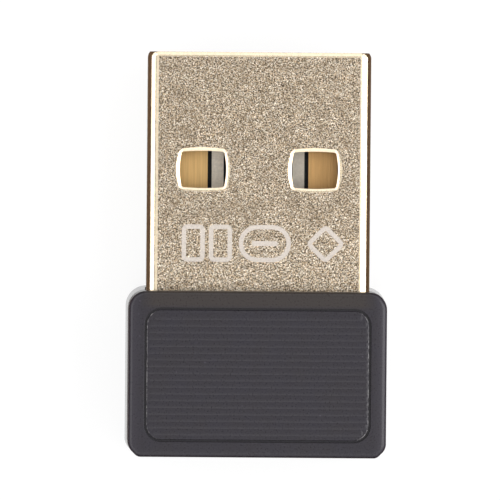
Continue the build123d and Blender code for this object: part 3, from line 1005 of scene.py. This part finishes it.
class ADAPTER_OT_face_marks(bpy.types.Operator):
    """Lay plain etched shapes on the shell: two frames, a barred capsule and a lozenge"""

    bl_idname = "adapter.face_marks"
    bl_label = "Face Marks"

    def execute(self, context):
        settings = context.scene.adapter_marks
        high = mm_box("plug_shell")[1]
        size = settings.height / MM
        stroke = settings.stroke / MM
        place_y = high.y - settings.from_tip / MM
        frame_size = (0.62 * size, size)
        corner = 0.3
        rows = (  # place across, size, corner radius, line width, turned on its corner
            (-3.49, frame_size, corner, stroke, False),
            (-2.03, frame_size, corner, stroke, False),
            (0.35, (1.4 * size, size), size / 2 - 0.01, stroke, False),
            (0.35, (0.7 * size, 1.1 * stroke), stroke / 2, 0, False),
            (3.6, (0.76 * size, 0.76 * size), corner, stroke, True),
        )
        relief = settings.relief / MM
        marks = [self.add_ring((x, place_y, high.z), relief, *row) for x, *row in rows]
        join(marks[0], marks[1:])
        finish_piece(marks[0], "face_marks", etched_line(settings), [])
        return {"FINISHED"}

    def add_ring(self, middle, relief, size, corner, stroke, turned):
        """Outline of a rounded rectangle, or a filled one where the stroke is nought."""
        start()
        bpy.ops.mesh.primitive_plane_add(size=1)
        ring = bpy.context.object
        ring.scale = (size[0], size[1], 1)
        bpy.ops.object.transform_apply(location=False, rotation=False, scale=True)
        edit(ring)
        bpy.ops.mesh.select_all(action="SELECT")
        bpy.ops.mesh.bevel(offset=corner, segments=8, affect="VERTICES")
        if stroke:
            bpy.ops.mesh.select_mode(type="FACE")
            bpy.ops.mesh.select_all(action="SELECT")
            bpy.ops.mesh.inset(thickness=stroke)
            bpy.ops.mesh.delete(type="FACE")
        bpy.ops.mesh.select_all(action="SELECT")
        bpy.ops.mesh.extrude_region_move(TRANSFORM_OT_translate={"value": (0, 0, relief)})
        bpy.ops.mesh.select_all(action="SELECT")
        bpy.ops.mesh.normals_make_consistent(inside=False)
        start()
        ring.select_set(True)
        ring.location = middle
        ring.rotation_euler.z = math.pi / 4 if turned else 0
        bpy.ops.object.transform_apply(location=True, rotation=True, scale=False)
        return ring


class ADAPTER_OT_contacts(bpy.types.Operator):
    """Finish the contact carrier and the four contacts"""

    bl_idname = "adapter.contacts"
    bl_label = "Contacts"

    def execute(self, context):
        drawn = (1, 0.04, 1)  # grain drawn out along the plug
        # The second tint is the same gold made darker: painted shade on the other pair of contacts.
        tints = {
            "Bright strip": ((0.62, 0.40, 0.17), ("vbus_contact", "data_minus_contact")),
            "Strip with painted shade": ((0.55, 0.33, 0.138), ("data_plus_contact", "ground_contact")),
        }
        for name, (tint, nodes) in tints.items():
            look = {"metallic": 1.0, "roughness": (0.28, 0.42), "depth": 0.003, "stretch": drawn}
            dress(nodes, speckled(name, tint, size=0.12 * MM, **look))
        dress(["contact_carrier"], carrier_plastic())
        return {"FINISHED"}


class ADAPTER_OT_board(bpy.types.Operator):
    """Finish the circuit board and the pieces on it"""

    bl_idname = "adapter.board"
    bl_label = "Circuit Board"

    def execute(self, context):
        finishes = {
            "Board laminate": ((0.02, 0.13, 0.06), 0.2, ("circuit_board",)),
            "Chip moulding": (
                (0.02, 0.02, 0.022),
                0.05,
                ("radio_chip", "memory_chip", "voltage_regulator", "surge_guard"),
            ),
            "Crystal lid": ((0.6, 0.58, 0.54), 0.08, ("crystal",)),
            "Antenna ceramic": ((0.72, 0.74, 0.70), 0.1, ("chip_antenna",)),
            "Capacitor ceramic": (
                (0.42, 0.30, 0.20),
                0.06,
                [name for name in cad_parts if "capacitor" in name]
                + ["antenna_inductor", "supply_bead"],
            ),
            "Resistor ceramic": ((0.05, 0.05, 0.06), 0.05, ("bias_resistor", "reset_resistor")),
        }
        for name, (base, size, nodes) in finishes.items():
            metallic = 1.0 if name == "Crystal lid" else 0.0
            dress(nodes, speckled(name, base, size * MM, metallic))
        return {"FINISHED"}


def add_lamp(name, azimuth, lowest, highest, width, radiance):
    """Lamp that faces the object and spans some degrees from the vertical."""
    start()
    tilt = math.radians((lowest + highest) / 2)
    turn = math.radians(azimuth)
    place = LAMP_DISTANCE * Vector(
        (math.sin(tilt) * math.cos(turn), math.sin(tilt) * math.sin(turn), math.cos(tilt))
    )
    height = 2 * LAMP_DISTANCE * math.tan(math.radians(highest - lowest) / 2)
    bpy.ops.object.light_add(type="AREA", location=place)
    lamp = bpy.context.object
    lamp.name = name
    lamp.data.shape = "RECTANGLE"
    lamp.data.size = width
    lamp.data.size_y = height
    lamp.data.energy = POWER_FOR_RADIANCE * width * height * radiance
    lamp.rotation_euler = place.to_track_quat("Z", "Y").to_euler()


def add_flag(name, place, size, turn):
    """Dark card that only reflections see."""
    start()
    bpy.ops.mesh.primitive_plane_add(size=MM, location=Vector(place) * MM, rotation=turn)
    card = bpy.context.object
    card.name = name
    card.scale = (size[0], size[1], 1)
    brown = (0.08, 0.048, 0.03)
    material = new_material(name, Base_Color=tone(brown), Roughness=1.0)[0]
    card.data.materials.append(material)
    card.visible_camera = False
    card.visible_diffuse = False
    card.visible_shadow = False


class ADAPTER_OT_stage(bpy.types.Operator):
    """Set the floor, the lamps and the camera"""

    bl_idname = "adapter.stage"
    bl_label = "Stage"

    def execute(self, context):
        settings = context.scene.adapter_stage
        self.add_floor(settings)
        self.light(context, settings)
        self.add_camera(context, settings)
        context.scene.view_settings.view_transform = "Standard"
        return {"FINISHED"}

    def add_floor(self, settings):
        """Pale floor that stays white to the camera and keeps some of the shadow."""
        start()
        bpy.ops.mesh.primitive_plane_add(size=FLOOR_SIZE, location=(0, 0, -FLOOR_GAP * MM))
        floor = bpy.context.object
        floor.name = "floor"
        material, tree, shader = new_material(
            "Pale floor", Base_Color=tone(settings.floor), Roughness=0.9, Specular_IOR_Level=0.1
        )
        path = add_node(tree, "LightPath").outputs
        seen = calculate(tree, "ADD", path["Is Camera Ray"], path["Is Glossy Ray"])
        seen = calculate(tree, "ADD", seen, path["Is Transmission Ray"], clamp=True)
        share = calculate(tree, "MULTIPLY", seen, 1 - settings.shadow_share)
        glow = add_node(tree, "Emission", {"Color": (1, 1, 1, 1), "Strength": 1.0})
        mix = add_node(tree, "MixShader", {0: share})
        tree.links.new(shader.outputs["BSDF"], mix.inputs[1])
        tree.links.new(glow.outputs["Emission"], mix.inputs[2])
        tree.links.new(mix.outputs["Shader"], tree.nodes["Material Output"].inputs["Surface"])
        floor.data.materials.append(material)

    def light(self, context, settings):
        """Lamps overhead and all round, dark cards for the reflections, and the surroundings."""
        highest, width = 80, 0.19
        ring = (  # azimuth, lowest angle from the vertical, radiance
            (0, 20, settings.side * settings.lopsided),
            (45, 36, settings.corner),
            (90, 36, settings.ends),
            (135, 36, settings.corner),
            (180, 36, settings.side),
            (225, 36, settings.corner),
            (270, 20, settings.ends),
            (315, 36, settings.corner),
        )
        add_lamp("lamp_overhead", 0, lowest=-29, highest=29, width=0.31, radiance=settings.overhead)
        for azimuth, lowest, radiance in ring:
            add_lamp(f"lamp_{azimuth}", azimuth, lowest, highest, width, radiance)
        self.add_flags()
        world = bpy.data.worlds.new("Surroundings")
        context.scene.world = world
        world.use_nodes = True
        tree = world.node_tree
        path = add_node(tree, "LightPath").outputs
        back = tree.nodes["Background"]
        back.inputs["Color"].default_value = (1, 1, 1, 1)
        strength = spread(tree, path["Is Camera Ray"], 0, 1, settings.world, 1.0)
        tree.links.new(strength, back.inputs["Strength"])

    def add_flags(self):
        """Cards that lie and stand round the object, beyond its sides and its ends."""
        half_x = mm_box("rear_cover")[1].x
        half_y = mm_box("plug_shell")[1].y
        near, far, tall, low_z = 0.4, 9, 7.6, 0.05  # millimetres
        middle, width = (near + far) / 2, far - near
        span_x, span_y = 2 * (half_x + far), 2 * (half_y + far)
        flat, turn = (0, 0, 0), math.pi / 2
        for side in (-1, 1):
            flags = (
                ("low_x", (side * (half_x + middle), 0, low_z), (width, span_y), flat),
                ("low_y", (0, side * (half_y + middle), low_z), (span_x, width), flat),
                ("x", (side * (half_x + far), 0, tall / 2), (tall, span_y), (0, turn, 0)),
                ("y", (0, side * (half_y + far), tall / 2), (span_x, tall), (turn, 0, 0)),
            )
            for name, place, size, rotation in flags:
                add_flag(f"flag_{name}_{side}", place, size, rotation)

    def add_camera(self, context, settings):
        """Long lens over the broad face, leaning a little to the left and to the tip."""
        start()
        high = mm_box("front_cover")[1]
        target = Vector((settings.target_x, settings.target_y, high.z * MM))
        back = Vector((-math.tan(settings.lean_x), math.tan(settings.lean_y), 1)).normalized()
        bpy.ops.object.camera_add()
        camera = bpy.context.object
        camera.name = "camera"
        camera.data.lens = 400
        camera.data.sensor_width = 36
        camera.data.clip_start = 0.01
        camera.data.clip_end = 10
        camera.location = target + back * settings.distance
        turn = back.to_track_quat("Z", "Y").to_matrix()
        spin = turn @ Vector((0, 1, 0))
        tilt = math.atan2(spin.x, spin.y) + settings.roll
        camera.rotation_euler = (turn.to_4x4() @ Matrix.Rotation(tilt, 4, "Z")).to_euler()
        context.scene.camera = camera


class ADAPTER_PT_panel(bpy.types.Panel):
    """Lists the pieces in the sidebar"""

    bl_label = "Nano Radio Adapter"
    bl_idname = "ADAPTER_PT_panel"
    bl_space_type = "VIEW_3D"
    bl_region_type = "UI"
    bl_category = "Adapter"

    def draw(self, context):
        for operator in OPERATORS:
            self.layout.operator(operator.bl_idname)


OPERATORS = (
    ADAPTER_OT_plug_shell,
    ADAPTER_OT_face_marks,
    ADAPTER_OT_front_cover,
    ADAPTER_OT_rear_cover,
    ADAPTER_OT_contacts,
    ADAPTER_OT_board,
    ADAPTER_OT_stage,
)
SETTINGS = {
    "adapter_shell": AdapterShellSettings,
    "adapter_cover": AdapterCoverSettings,
    "adapter_marks": AdapterMarkSettings,
    "adapter_stage": AdapterStageSettings,
}


def register():
    for name, group in SETTINGS.items():
        bpy.utils.register_class(group)
        setattr(bpy.types.Scene, name, bpy.props.PointerProperty(type=group))
    for operator in OPERATORS:
        bpy.utils.register_class(operator)
    bpy.utils.register_class(ADAPTER_PT_panel)


def unregister():
    bpy.utils.unregister_class(ADAPTER_PT_panel)
    for operator in reversed(OPERATORS):
        bpy.utils.unregister_class(operator)
    for name, group in reversed(SETTINGS.items()):
        delattr(bpy.types.Scene, name)
        bpy.utils.unregister_class(group)


def main():
    register()
    bpy.ops.adapter.plug_shell()
    bpy.ops.adapter.face_marks()
    bpy.ops.adapter.front_cover()
    bpy.ops.adapter.rear_cover()
    bpy.ops.adapter.contacts()
    bpy.ops.adapter.board()
    bpy.ops.adapter.stage()
    start()


if __name__ == "__main__":
    main()
